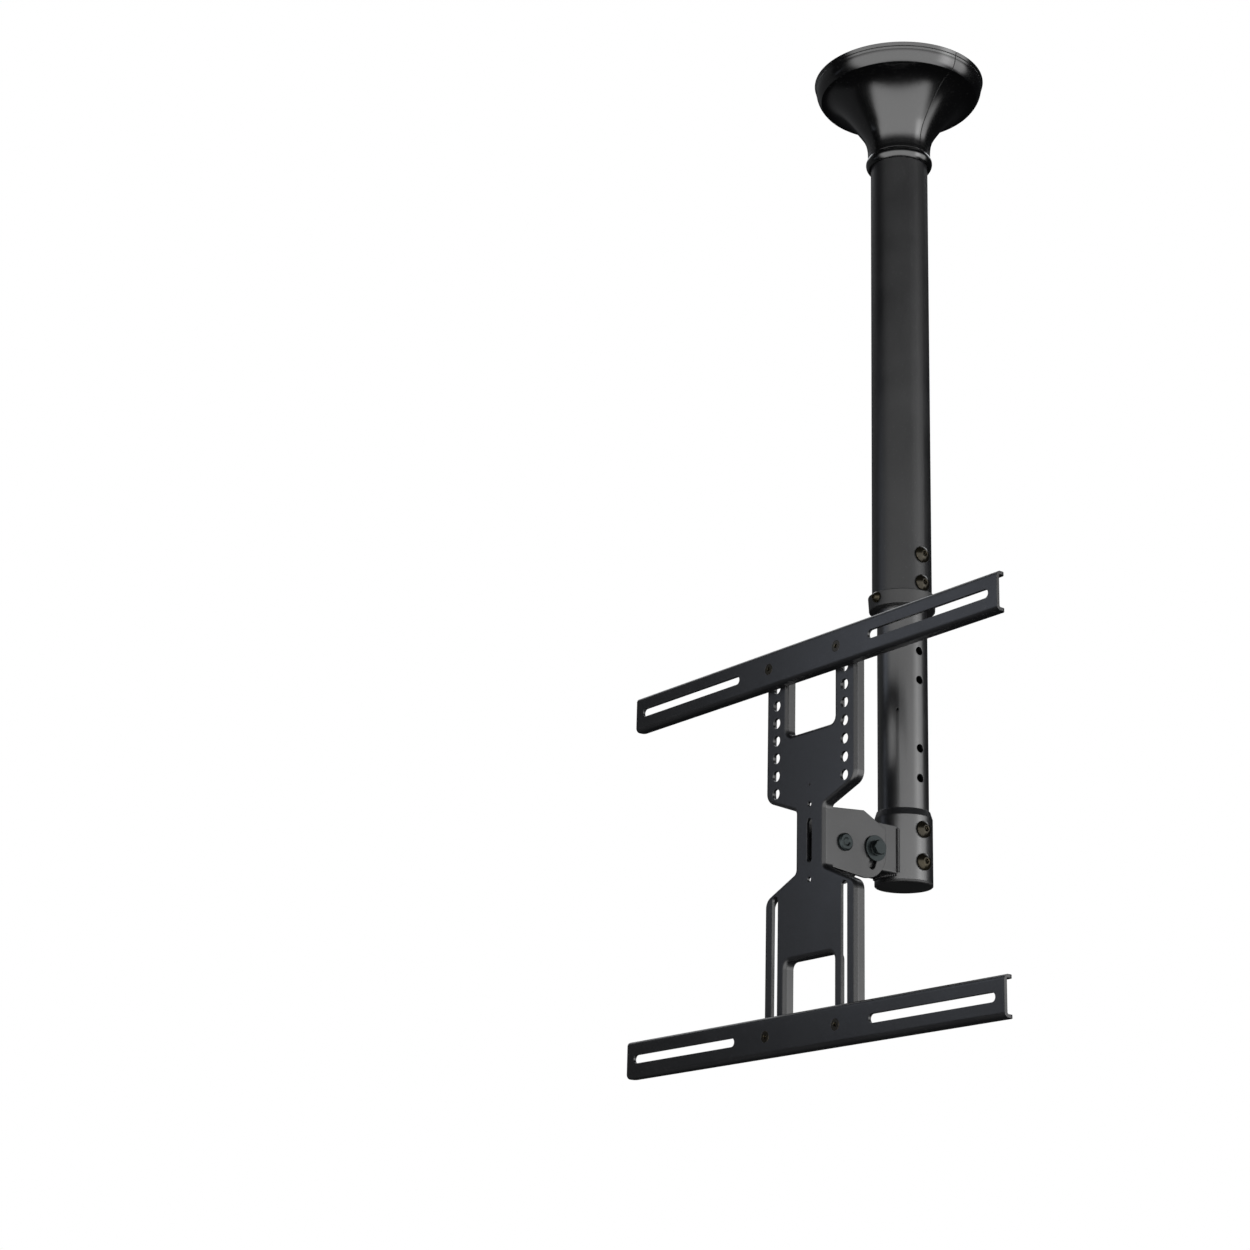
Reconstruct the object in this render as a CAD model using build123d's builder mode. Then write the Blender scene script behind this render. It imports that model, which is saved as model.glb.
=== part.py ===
from build123d import *
from math import cos, radians, sin
import os

os.makedirs("parts", exist_ok=True)

# Telescopic ceiling mount for a flat television, in millimetres.
# The origin is on the ceiling face, on the axis of the pole. Z points up, so all of
# the mount hangs below zero. The television side is towards minus Y, and the rails
# lie along X. Heights are measured down from the ceiling and kept as negative values.

# General clearances
running_gap = 0.1
hair_gap = 0.05
hole_play = 0.25

# Ceiling plate and the spigot that the pole turns on
plate_d = 150
plate_thick = 6
cable_hole_d = 40
anchor_pcd = 116
anchor_hole_d = 9
anchor_count = 4
anchor_start_angle = 45
rim_groove_w = 2.4
rim_groove_depth = 1.5
spigot_len = 74
spigot_wall = 4
swivel_groove_z = -49
swivel_groove_w = 9
swivel_groove_depth = 2.2

# Two part cover
cover_d = 180
cover_wall = 2.4
cover_bead_h = 4
cover_lip_h = 19
cover_lip_inset = 7.2
lip_band_h = 6.6
lip_draft = 1.8
lip_round = 4.2
bell_shoulder = (62.6, -29.6)
bell_throat = (42.8, -54.8)
bead_line = 0.7
cover_neck_d = 66
cover_neck_top_z = -86
cover_bottom_z = -102
seam_gap = 0.8
lug_w = 12
lug_drop = 6
lug_count = 6
ring_h = 11.5
ring_seat_depth = 1.2
ring_swell = 2
ring_lead = 0.6

# Outer tube, the fixed length of the pole
outer_d = 60
outer_wall = 3
outer_top_gap = 1
outer_bottom_z = -597
swivel_screw_count = 3

# Collar at the lower end of the outer tube
collar_wall = 3
collar_swell = 1
collar_h = 15
collar_floor = 2
collar_upstand = 14
wobble_screw_z = -590

# Inner tube, the sliding length of the pole
inner_d = 50
inner_wall = 2.5
inner_top_z = -410
inner_bottom_z = -876
hole_pair_gap = 30
hole_pair_step = 100
hole_pair_count = 4
lock_pair_z = -560
lock_screw_play = 0.3
vent_hole_d = 3
vent_hole_z = -707
vent_hole_angle = -54
guide_ring_h = 20
guide_ring_wrap = 3

# Fasteners across the pole, M8 with button heads
m8_d = 8
m8_head_d = 17
m8_head_h = 4.6
m8_socket_af = 5
m8_nut_af = 13
m8_nut_h = 6.5
m8_spring_washer_d = 15
m6_d = 6
m6_head_d = 11
m6_head_h = 4.5
m6_socket_af = 4
m6_nut_af = 10
m6_nut_h = 5
socket_depth = 2.4
screw_point = 0.6

# Hub sleeve at the foot of the pole, with the arm that carries the head
hub_wall = 3.4
hub_top_z = -806
hub_bottom_z = -877
hub_lead_in = 2.2
hub_lead_h = 7
hub_bolt_top_z = -827
hub_bolt_gap = 32
hub_thread_left = 4
cap_flange = 2.5
cap_plug_h = 12
cap_edge = 0.8

# Tilt joint. Its axis is parallel to X.
pivot_y = -94
pivot_z = -853.5
lock_reach = 38
tilt_back = 5
tilt_forward = 25
pivot_d = 10
pivot_head_d = 17
pivot_head_h = 3.6
pivot_dish = 1.4
pivot_head_edge = 1.5
pivot_thread_left = 2.5
pivot_nut_af = 16
pivot_nut_h = 7
lock_head_h = 5.3
arm_half_w = 17
arm_sheet = 3
arm_half_h = 23.5
arm_rise = 4
arm_nose_r = 16
arm_body_front = -70
big_washer_d = 25
big_washer_h = 2
friction_washer_d = 21

# Head plate, one pressed sheet with two ears folded back from its waist
head_sheet = 3
head_front_y = -120
head_half_w = 66
head_top = 194
leg_below_slot = 10
head_rim = 11
bend_r = 4
waist_half_w = 21
waist_top = 33
waist_bottom = -27
shoulder_rise = 17
shoulder_fall = 20
shoulder_r = 12
waist_r = 5
leg_end_r = 6
cutout_half_w = 35
cutout_top_floor = 110
cutout_bottom_floor = -110
cutout_r = 7
column_x = 50
column_hole_d = 10.5
column_pitch = 17.75
column_count = 8
column_first = 55.5
slot_w = 8.5
slot_first = -49.5
slot_spare = 3.75
waist_slot_w = 7
waist_slot_len = 43
waist_slot_h = 1.2
waist_hole_d = 5
waist_hole_h = 36.5
dot_hole_d = 2
dot_hole_h = 55.5
ear_top_front = 31
ear_top_peak = 35
ear_top_rear = 21
ear_bottom_front = -26
ear_bottom_low = -30
ear_rear_y = -42
ear_top_corner = 11
ear_bottom_corner = 26
ear_peak_y = -70

# Rails, two equal channels of folded sheet
rail_len = 534
rail_h = 37
rail_depth = 11
rail_sheet = 3
rail_bend_r = 4.5
rail_corner_r = 4
rail_slot_w = 8.5
rail_slot_near = 100
rail_slot_far = 251.5
rail_spacing = 360
countersink_d = 11.2
washer_d = 12
washer_h = 1.6
thread_left = 1.5

# Values worked out from those above
outer_r = outer_d / 2
outer_bore_r = outer_r - outer_wall
inner_r = inner_d / 2
inner_bore_r = inner_r - inner_wall
spigot_r = outer_bore_r - running_gap
spigot_bore_r = spigot_r - spigot_wall
outer_top_z = -plate_thick - outer_top_gap
cover_r = cover_d / 2
neck_r = cover_neck_d / 2
collar_bottom_z = outer_bottom_z - collar_floor
collar_top_z = collar_bottom_z + collar_h
collar_bottom_r = outer_r + collar_wall
collar_top_r = collar_bottom_r + collar_swell
hub_r = inner_r + running_gap + hub_wall
lock_tip_r = inner_r + lock_screw_play
lock_zs = [lock_pair_z - hole_pair_gap / 2, lock_pair_z + hole_pair_gap / 2]
hub_bolt_zs = [hub_bolt_top_z, hub_bolt_top_z - hub_bolt_gap]
lock_y = pivot_y + lock_reach
arm_mid_z = pivot_z + arm_rise
ear_outer_x = waist_half_w
ear_inner_x = waist_half_w - head_sheet
friction_gap = ear_inner_x - arm_half_w
head_back_y = head_front_y + head_sheet
rail_front_y = head_front_y - rail_depth
upper_rail_h = column_first + (column_count - 1) * column_pitch
upper_rail_z = pivot_z + upper_rail_h
lower_rail_z = upper_rail_z - rail_spacing
slot_last = upper_rail_h - rail_spacing - slot_spare
head_bottom = slot_last - leg_below_slot
swivel_angles = [90 + i * 360 / swivel_screw_count for i in range(swivel_screw_count)]


def across(z, angle=0):
    """A plane through the pole axis at height z that looks outwards at the angle."""
    outward = (cos(radians(angle)), sin(radians(angle)), 0)
    return Plane(origin=(0, 0, z), x_dir=(-outward[1], outward[0], 0), z_dir=outward)


def button_screw(shank_d, shank_len, head_d, head_h, socket_af):
    """A domed screw along X: its head seats at zero and its shank runs to minus X."""
    with BuildPart() as screw:
        with BuildSketch(Plane.XY):
            with BuildLine():
                Polyline((0, 0), (-shank_len, 0), (-shank_len, shank_d / 2 - screw_point),
                         (-shank_len + screw_point, shank_d / 2), (0, shank_d / 2), (0, head_d / 2),
                         (head_h * 0.3, head_d / 2))
                ThreePointArc((head_h * 0.3, head_d / 2), (head_h * 0.8, head_d * 0.33),
                              (head_h, head_d * 0.22))
                Polyline((head_h, head_d * 0.22), (head_h, 0), (0, 0))
            make_face()
        revolve(axis=Axis.X)
        with BuildSketch(Plane.YZ.offset(head_h)):
            RegularPolygon(radius=socket_af / 2, side_count=6, major_radius=False)
        extrude(amount=-socket_depth, mode=Mode.SUBTRACT)
    return screw.part


def hex_nut(across_flats, height, bore_d):
    """A nut along X that seats at zero and stands out to plus X."""
    with BuildPart() as nut:
        with BuildSketch(Plane.YZ):
            RegularPolygon(radius=across_flats / 2, side_count=6, major_radius=False)
        extrude(amount=height)
        with BuildSketch(Plane.XY):
            with BuildLine():
                Polyline((0, 0), (0, across_flats * 0.54), (height * 0.8, across_flats * 0.58),
                         (height, across_flats * 0.5), (height, 0), (0, 0))
            make_face()
        revolve(axis=Axis.X, mode=Mode.INTERSECT)
        if bore_d:
            with BuildSketch(Plane.YZ):
                Circle(bore_d / 2 + hair_gap)
            extrude(amount=height, mode=Mode.SUBTRACT)
    return nut.part


def hex_bolt(shank_d, shank_len, across_flats, head_h):
    """A bolt along X: its head seats at zero and its shank runs to minus X."""
    head = hex_nut(across_flats, head_h, 0)
    with BuildPart() as bolt:
        add(head)
        with BuildSketch(Plane.YZ.offset(head_h * 0.9)):
            Circle(shank_d / 2)
        extrude(amount=-shank_len - head_h * 0.9)
        chamfer(bolt.faces().sort_by(Axis.X)[0].edges(), length=screw_point)
    return bolt.part


def flat_screw(shank_d, shank_len, head_d, socket_af):
    """A countersunk screw along X: the top of its head is at zero."""
    with BuildPart() as screw:
        with BuildSketch(Plane.XY):
            with BuildLine():
                Polyline((0, 0), (0, head_d / 2), (-(head_d - shank_d) / 2, shank_d / 2),
                         (-shank_len + screw_point, shank_d / 2), (-shank_len, shank_d / 2 - screw_point),
                         (-shank_len, 0), close=True)
            make_face()
        revolve(axis=Axis.X)
        with BuildSketch(Plane.YZ):
            RegularPolygon(radius=socket_af / 2, side_count=6, major_radius=False)
        extrude(amount=-socket_depth, mode=Mode.SUBTRACT)
    return screw.part


def flat_washer(outer, bore, height):
    """A washer along X that seats at zero and stands out to plus X."""
    with BuildPart() as washer:
        with BuildSketch(Plane.YZ):
            Circle(outer / 2)
            Circle(bore / 2, mode=Mode.SUBTRACT)
        extrude(amount=height)
    return washer.part


def turned(x=0, y=0, z=0, angle=0):
    """A place whose X axis points outwards at the angle from plus X, about Z."""
    return Location((x, y, z), (0, 0, angle))


# Ceiling plate, with a groove in its rim for the lugs of the cover
with BuildPart() as ceiling_plate:
    with BuildSketch(Plane.XY.offset(-plate_thick)):
        Circle(plate_d / 2)
        Circle(cable_hole_d / 2, mode=Mode.SUBTRACT)
        with PolarLocations(anchor_pcd / 2, anchor_count, start_angle=anchor_start_angle):
            Circle(anchor_hole_d / 2, mode=Mode.SUBTRACT)
    extrude(amount=plate_thick)
    with BuildSketch(Plane.XZ):
        with Locations((plate_d / 2, -plate_thick / 2)):
            Rectangle(2 * rim_groove_depth, rim_groove_w)
    revolve(axis=Axis.Z, mode=Mode.SUBTRACT)
ceiling_plate.part.label = "ceiling_plate"
export_step(ceiling_plate.part, "parts/ceiling_plate.step")

# Spigot welded under the plate. The pole hangs and turns on its groove.
spigot_end_z = -plate_thick - spigot_len
with BuildPart() as swivel_spigot:
    with BuildSketch(Plane.XY.offset(spigot_end_z)):
        Circle(spigot_r)
        Circle(spigot_bore_r, mode=Mode.SUBTRACT)
    extrude(amount=spigot_len)
    with BuildSketch(Plane.XZ):
        with Locations((spigot_r, swivel_groove_z)):
            Rectangle(2 * swivel_groove_depth, swivel_groove_w)
    revolve(axis=Axis.Z, mode=Mode.SUBTRACT)
    chamfer(swivel_spigot.faces().sort_by(Axis.Z)[0].edges(), length=1)
swivel_spigot.part.label = "swivel_spigot"
export_step(swivel_spigot.part, "parts/swivel_spigot.step")

# Cover: one bell in two halves, with lugs that snap into the rim of the plate
lip_end = (cover_r - cover_lip_inset, -cover_lip_h)
lip_shoulder = (cover_r - lip_draft, -lip_band_h)
bead_line_r = cover_r - lip_draft * cover_bead_h / lip_band_h
lug_start_r = plate_d / 2 + hole_play
lug_len = cover_r - lip_draft - lug_start_r
lug_bead = rim_groove_depth + hole_play - running_gap
lug_first = 180 / lug_count
for half_name, side in (("canopy_front", 1), ("canopy_rear", -1)):
    with BuildPart() as canopy_half:
        with BuildSketch(Plane.XZ):
            with BuildLine():
                Line((cover_r, 0), lip_shoulder)
                ThreePointArc(lip_shoulder, (cover_r - lip_round, -cover_lip_h * 0.78), lip_end)
                bell = Spline(lip_end, bell_shoulder, bell_throat, (neck_r, cover_neck_top_z),
                              tangents=[(-1, -0.12), (0, -1)])
                Polyline((neck_r, cover_neck_top_z), (neck_r, cover_bottom_z),
                         (neck_r - cover_wall, cover_bottom_z), (neck_r - cover_wall, cover_neck_top_z))
                inside = [bell @ (i / 6) + (bell % (i / 6)).rotate(Axis.Z, -90) * cover_wall
                          for i in range(7)]
                Spline(*inside, tangents=[bell % 0, bell % 1])
                ThreePointArc(inside[0], (cover_r - cover_wall - lip_round, -cover_lip_h * 0.68),
                              (cover_r - cover_wall - lip_draft, -lip_band_h))
                Polyline((cover_r - cover_wall - lip_draft, -lip_band_h),
                         (cover_r - cover_wall, 0), (cover_r, 0))
            make_face()
        revolve(axis=Axis.Z)
        # A fine line under the top bead, and the seat of the clamp ring on the neck
        with BuildSketch(Plane.XZ):
            with Locations((bead_line_r, -cover_bead_h)):
                Rectangle(2 * bead_line, bead_line)
            with Locations((neck_r, cover_bottom_z + ring_h / 2)):
                Rectangle(2 * ring_seat_depth, ring_h)
        revolve(axis=Axis.Z, mode=Mode.SUBTRACT)
        # Lugs from the lip to the plate, each with a bead that sits in the groove
        with PolarLocations(lug_start_r, lug_count, start_angle=lug_first):
            Box(lug_len, lug_w, lug_drop, align=(Align.MIN, Align.CENTER, Align.MAX))
            with Locations((0, 0, -plate_thick / 2)):
                Box(lug_bead, lug_w, rim_groove_w - 2 * running_gap,
                    align=(Align.MAX, Align.CENTER, Align.CENTER))
        with Locations((0, -side * seam_gap / 2, 0)):
            Box(2 * cover_d, cover_d, -2 * cover_bottom_z, mode=Mode.SUBTRACT,
                align=(Align.CENTER, Align.MIN if side > 0 else Align.MAX, Align.CENTER))
    canopy_half.part.label = half_name
    export_step(canopy_half.part, f"parts/{half_name}.step")

# Rounded ring that clamps both halves at the neck
ring_seat_r = neck_r - ring_seat_depth + hair_gap
ring_top_z = cover_bottom_z + ring_h - hair_gap
with BuildPart() as canopy_ring:
    with BuildSketch(Plane.XZ):
        with BuildLine():
            Polyline((ring_seat_r + ring_lead, cover_bottom_z), (ring_seat_r, cover_bottom_z),
                     (ring_seat_r, ring_top_z), (neck_r, ring_top_z))
            ThreePointArc((neck_r, ring_top_z), (neck_r + ring_swell, cover_bottom_z + ring_h / 2),
                          (ring_seat_r + ring_lead, cover_bottom_z))
        make_face()
    revolve(axis=Axis.Z)
canopy_ring.part.label = "canopy_ring"
export_step(canopy_ring.part, "parts/canopy_ring.step")

# Outer tube, drilled for the swivel, locking and steadying screws
with BuildPart() as outer_tube:
    with BuildSketch(Plane.XY.offset(outer_bottom_z)):
        Circle(outer_r)
        Circle(outer_bore_r, mode=Mode.SUBTRACT)
    extrude(amount=outer_top_z - outer_bottom_z)
    for screw_z in lock_zs:
        with BuildSketch(across(screw_z)):
            Circle(m8_d / 2 + hair_gap)
        extrude(amount=outer_r + 1, mode=Mode.SUBTRACT)
    for angle in swivel_angles:
        with BuildSketch(across(swivel_groove_z, angle)):
            Circle(m8_d / 2 + hair_gap)
        extrude(amount=outer_r + 1, mode=Mode.SUBTRACT)
    for angle in (-90, 90):
        with BuildSketch(across(wobble_screw_z, angle)):
            Circle(m6_d / 2 + hair_gap)
        extrude(amount=outer_r + 1, mode=Mode.SUBTRACT)
outer_tube.part.label = "outer_tube"
export_step(outer_tube.part, "parts/outer_tube.step")

# Screws that ride in the groove of the spigot and carry the pole
swivel_tip_r = spigot_r - swivel_groove_depth + lock_screw_play
swivel_screw = button_screw(m8_d, outer_r - swivel_tip_r, m8_head_d, m8_head_h, m8_socket_af)
with BuildPart() as swivel_screws:
    for angle in swivel_angles:
        seat = Location((0, 0, outer_r), (0, -90, 0))
        with Locations(across(swivel_groove_z, angle).location * seat):
            add(swivel_screw)
swivel_screws.part.label = "swivel_screws"
export_step(swivel_screws.part, "parts/swivel_screws.step")

# Moulded collar that wraps the end of the outer tube and guides the inner one
with BuildPart() as end_collar:
    with BuildSketch(Plane.XZ):
        with BuildLine():
            Polyline((collar_top_r, collar_top_z), (collar_bottom_r, collar_bottom_z),
                     (inner_r + running_gap, collar_bottom_z),
                     (inner_r + running_gap, collar_bottom_z + collar_upstand),
                     (outer_bore_r - hair_gap, collar_bottom_z + collar_upstand),
                     (outer_bore_r - hair_gap, outer_bottom_z),
                     (outer_r + hair_gap, outer_bottom_z),
                     (outer_r + hair_gap, collar_top_z), close=True)
        make_face()
    revolve(axis=Axis.Z)
    for angle in (-90, 90):
        with BuildSketch(across(wobble_screw_z, angle)):
            Circle(m6_d / 2 + hair_gap)
        extrude(amount=collar_top_r + 1, mode=Mode.SUBTRACT)
    outer_corners = end_collar.edges().filter_by(GeomType.CIRCLE).filter_by(
        lambda e: e.radius > collar_bottom_r - 0.1)
    fillet(outer_corners, radius=0.8)
end_collar.part.label = "end_collar"
export_step(end_collar.part, "parts/end_collar.step")

# Two screws through the collar that take the play out of the inner tube
wobble_seat_r = collar_top_r + hair_gap
wobble_screw = button_screw(m6_d, wobble_seat_r - lock_tip_r, m6_head_d, m6_head_h, m6_socket_af)
with BuildPart() as steady_screws:
    for angle in (-90, 90):
        seat = Location((0, 0, wobble_seat_r), (0, -90, 0))
        with Locations(across(wobble_screw_z, angle).location * seat):
            add(wobble_screw)
steady_screws.part.label = "steady_screws"
export_step(steady_screws.part, "parts/steady_screws.step")

# Height locking screws, drawn back so that their tips just clear the inner tube
lock_screw = button_screw(m8_d, outer_r + hair_gap - lock_tip_r, m8_head_d, m8_head_h, m8_socket_af)
with BuildPart() as height_lock_screws:
    with Locations(*[turned(x=outer_r + hair_gap, z=screw_z) for screw_z in lock_zs]):
        add(lock_screw)
height_lock_screws.part.label = "height_lock_screws"
export_step(height_lock_screws.part, "parts/height_lock_screws.step")

# Inner tube, with pairs of holes one step apart
pair_zs = [lock_pair_z + hole_pair_step - i * hole_pair_step for i in range(hole_pair_count)]
tube_hole_zs = [pair_z + side * hole_pair_gap / 2 for pair_z in pair_zs for side in (-1, 1)]
with BuildPart() as inner_tube:
    with BuildSketch(Plane.XY.offset(inner_bottom_z)):
        Circle(inner_r)
        Circle(inner_bore_r, mode=Mode.SUBTRACT)
    extrude(amount=inner_top_z - inner_bottom_z)
    with BuildSketch(Plane.YZ):
        with Locations(*[(0, hole_z) for hole_z in tube_hole_zs + hub_bolt_zs]):
            Circle(m8_d / 2 + hole_play)
    extrude(amount=inner_r + 1, both=True, mode=Mode.SUBTRACT)
    with BuildSketch(across(vent_hole_z, vent_hole_angle)):
        Circle(vent_hole_d / 2)
    extrude(amount=inner_r + 1, mode=Mode.SUBTRACT)
inner_tube.part.label = "inner_tube"
export_step(inner_tube.part, "parts/inner_tube.step")

# Guide ring pressed over the top of the inner tube
with BuildPart() as guide_ring:
    with BuildSketch(Plane.XZ):
        with BuildLine():
            Polyline((outer_bore_r - running_gap, inner_top_z + guide_ring_wrap),
                     (outer_bore_r - running_gap, inner_top_z - guide_ring_h),
                     (inner_r + hair_gap, inner_top_z - guide_ring_h),
                     (inner_r + hair_gap, inner_top_z + hair_gap),
                     (inner_bore_r, inner_top_z + hair_gap),
                     (inner_bore_r, inner_top_z + guide_ring_wrap), close=True)
        make_face()
    revolve(axis=Axis.Z)
guide_ring.part.label = "guide_ring"
export_step(guide_ring.part, "parts/guide_ring.step")

# Hub sleeve around the foot of the inner tube
with BuildPart() as hub_sleeve:
    with BuildSketch(Plane.XZ):
        with BuildLine():
            Polyline((inner_r + running_gap, hub_bottom_z), (hub_r, hub_bottom_z),
                     (hub_r, hub_top_z - hub_lead_h), (hub_r - hub_lead_in, hub_top_z),
                     (inner_r + running_gap, hub_top_z), close=True)
        make_face()
    revolve(axis=Axis.Z)
    with BuildSketch(Plane.YZ):
        with Locations(*[(0, bolt_z) for bolt_z in hub_bolt_zs]):
            Circle(m8_d / 2 + hole_play)
    extrude(amount=hub_r + 1, both=True, mode=Mode.SUBTRACT)
hub_sleeve.part.label = "hub_sleeve"
export_step(hub_sleeve.part, "parts/hub_sleeve.step")

# Arm: a folded channel welded to the front of the sleeve
with BuildPart() as tilt_arm:
    with BuildSketch(Plane.YZ):
        with Locations((pivot_y, pivot_z)):
            Circle(arm_nose_r)
        with Locations((arm_body_front, arm_mid_z)):
            Rectangle(-arm_body_front, 2 * arm_half_h, align=(Align.MIN, Align.CENTER))
        make_hull()
    extrude(amount=arm_half_w, both=True)
    with BuildSketch(Plane.XZ.offset(-arm_body_front)):
        with Locations((0, pivot_z)):
            Rectangle(2 * (arm_half_w - arm_sheet), 4 * arm_half_h)
    extrude(amount=arm_body_front - pivot_y + 2 * arm_nose_r, mode=Mode.SUBTRACT)
    with BuildSketch(Plane.XZ.offset(-arm_body_front)):
        with Locations((0, arm_mid_z - arm_half_h + arm_sheet)):
            Rectangle(2 * (arm_half_w - arm_sheet), 2 * arm_half_h, align=(Align.CENTER, Align.MIN))
    extrude(amount=arm_body_front, mode=Mode.SUBTRACT)
    channel_corners = tilt_arm.edges().filter_by(Axis.Y).group_by(Axis.Z)[0]
    fillet(channel_corners, radius=arm_sheet * 0.9)
    with BuildSketch(Plane.YZ):
        with Locations((pivot_y, pivot_z)):
            Circle(pivot_d / 2 + running_gap)
        with Locations((lock_y, pivot_z)):
            Circle(m8_d / 2 + running_gap)
    extrude(amount=arm_half_w + 1, both=True, mode=Mode.SUBTRACT)
    with BuildSketch(Plane.XY.offset(arm_mid_z - arm_half_h - 1)):
        Circle(hub_r + hair_gap)
    extrude(amount=2 * arm_half_h + 2, mode=Mode.SUBTRACT)
tilt_arm.part.label = "tilt_arm"
export_step(tilt_arm.part, "parts/tilt_arm.step")

# Plug that closes the foot of the pole
with BuildPart() as end_cap:
    with BuildSketch(Plane.XY.offset(hub_bottom_z - cap_flange - hair_gap)):
        Circle(hub_r)
    extrude(amount=cap_flange)
    chamfer(end_cap.faces().sort_by(Axis.Z)[0].edges(), length=cap_edge)
    with BuildSketch(Plane.XY.offset(hub_bottom_z - hair_gap)):
        Circle(inner_bore_r - hair_gap)
        Circle(inner_bore_r - 2 * inner_wall, mode=Mode.SUBTRACT)
    extrude(amount=cap_plug_h)
end_cap.part.label = "end_cap"
export_step(end_cap.part, "parts/end_cap.step")

# Two bolts that hold the sleeve on the inner tube, with their nuts
hub_bolt_len = 2 * hub_r + m8_nut_h + hub_thread_left
hub_bolt = button_screw(m8_d, hub_bolt_len, m8_head_d, m8_head_h, m8_socket_af)
hub_nut = hex_nut(m8_nut_af, m8_nut_h, m8_d)
with BuildPart() as hub_bolts:
    with Locations(*[turned(x=hub_r + hair_gap, z=bolt_z) for bolt_z in hub_bolt_zs]):
        add(hub_bolt)
hub_bolts.part.label = "hub_bolts"
export_step(hub_bolts.part, "parts/hub_bolts.step")

with BuildPart() as hub_nuts:
    with Locations(*[turned(x=-hub_r - hair_gap, z=bolt_z, angle=180) for bolt_z in hub_bolt_zs]):
        add(hub_nut)
hub_nuts.part.label = "hub_nuts"
export_step(hub_nuts.part, "parts/hub_nuts.step")

# Pivot of the tilt joint, a shouldered pin with a dished head
with BuildPart() as pivot_pin:
    with BuildSketch(Plane.XY.offset(pivot_z)):
        with BuildLine():
            Polyline((ear_outer_x + hair_gap, pivot_y),
                     (ear_outer_x + hair_gap, pivot_y + pivot_head_d / 2),
                     (ear_outer_x + pivot_head_h * 0.6, pivot_y + pivot_head_d / 2),
                     (ear_outer_x + pivot_head_h, pivot_y + pivot_head_d / 2 - pivot_head_edge),
                     (ear_outer_x + pivot_head_h, pivot_y + pivot_head_d / 4),
                     (ear_outer_x + pivot_head_h - pivot_dish, pivot_y + pivot_head_d / 4 - pivot_dish),
                     (ear_outer_x + pivot_head_h - pivot_dish, pivot_y), close=True)
        make_face()
        with Locations((ear_outer_x + 1, pivot_y)):
            Rectangle(2 * ear_outer_x + 1 + pivot_nut_h + pivot_thread_left, pivot_d / 2,
                      align=(Align.MAX, Align.MIN))
    revolve(axis=Axis((0, pivot_y, pivot_z), (1, 0, 0)))
pivot_pin.part.label = "pivot_pin"
export_step(pivot_pin.part, "parts/pivot_pin.step")

with BuildPart() as pivot_nut:
    with Locations(turned(x=-ear_outer_x - hair_gap, y=pivot_y, z=pivot_z, angle=180)):
        add(hex_nut(pivot_nut_af, pivot_nut_h, pivot_d))
pivot_nut.part.label = "pivot_nut"
export_step(pivot_nut.part, "parts/pivot_nut.step")

# Washers in the gaps between the ears and the arm
friction_washer_h = friction_gap - 2 * hair_gap
pivot_friction_washer = flat_washer(friction_washer_d, pivot_d + 2 * running_gap, friction_washer_h)
lock_friction_washer = flat_washer(friction_washer_d, m8_d + 2 * running_gap, friction_washer_h)
washer_x = arm_half_w + hair_gap
with BuildPart() as friction_washers:
    with Locations(turned(washer_x, pivot_y, pivot_z), turned(-washer_x, pivot_y, pivot_z, 180)):
        add(pivot_friction_washer)
    with Locations(turned(washer_x, lock_y, pivot_z), turned(-washer_x, lock_y, pivot_z, 180)):
        add(lock_friction_washer)
friction_washers.part.label = "friction_washers"
export_step(friction_washers.part, "parts/friction_washers.step")

# Locking bolt of the tilt joint, in the curved slots of the ears
big_washer_x = ear_outer_x + hair_gap
lock_seat_x = big_washer_x + big_washer_h + hair_gap
lock_washer = flat_washer(big_washer_d, m8_d + 2 * running_gap, big_washer_h)
with BuildPart() as tilt_lock_washers:
    with Locations(turned(big_washer_x, lock_y, pivot_z), turned(-big_washer_x, lock_y, pivot_z, 180)):
        add(lock_washer)
tilt_lock_washers.part.label = "tilt_lock_washers"
export_step(tilt_lock_washers.part, "parts/tilt_lock_washers.step")

with BuildPart() as tilt_lock_spring_washers:
    with Locations(turned(lock_seat_x, lock_y, pivot_z), turned(-lock_seat_x, lock_y, pivot_z, 180)):
        add(flat_washer(m8_spring_washer_d, m8_d + 2 * running_gap, washer_h))
tilt_lock_spring_washers.part.label = "tilt_lock_spring_washers"
export_step(tilt_lock_spring_washers.part, "parts/tilt_lock_spring_washers.step")

lock_head_x = lock_seat_x + washer_h + hair_gap
lock_bolt_len = 2 * lock_head_x + m8_nut_h + thread_left
with BuildPart() as tilt_lock_bolt:
    with Locations(turned(lock_head_x, lock_y, pivot_z)):
        add(hex_bolt(m8_d, lock_bolt_len, m8_nut_af, lock_head_h))
tilt_lock_bolt.part.label = "tilt_lock_bolt"
export_step(tilt_lock_bolt.part, "parts/tilt_lock_bolt.step")

with BuildPart() as tilt_lock_nut:
    with Locations(turned(-lock_head_x, lock_y, pivot_z, 180)):
        add(hex_nut(m8_nut_af, m8_nut_h, m8_d))
tilt_lock_nut.part.label = "tilt_lock_nut"
export_step(tilt_lock_nut.part, "parts/tilt_lock_nut.step")

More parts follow.
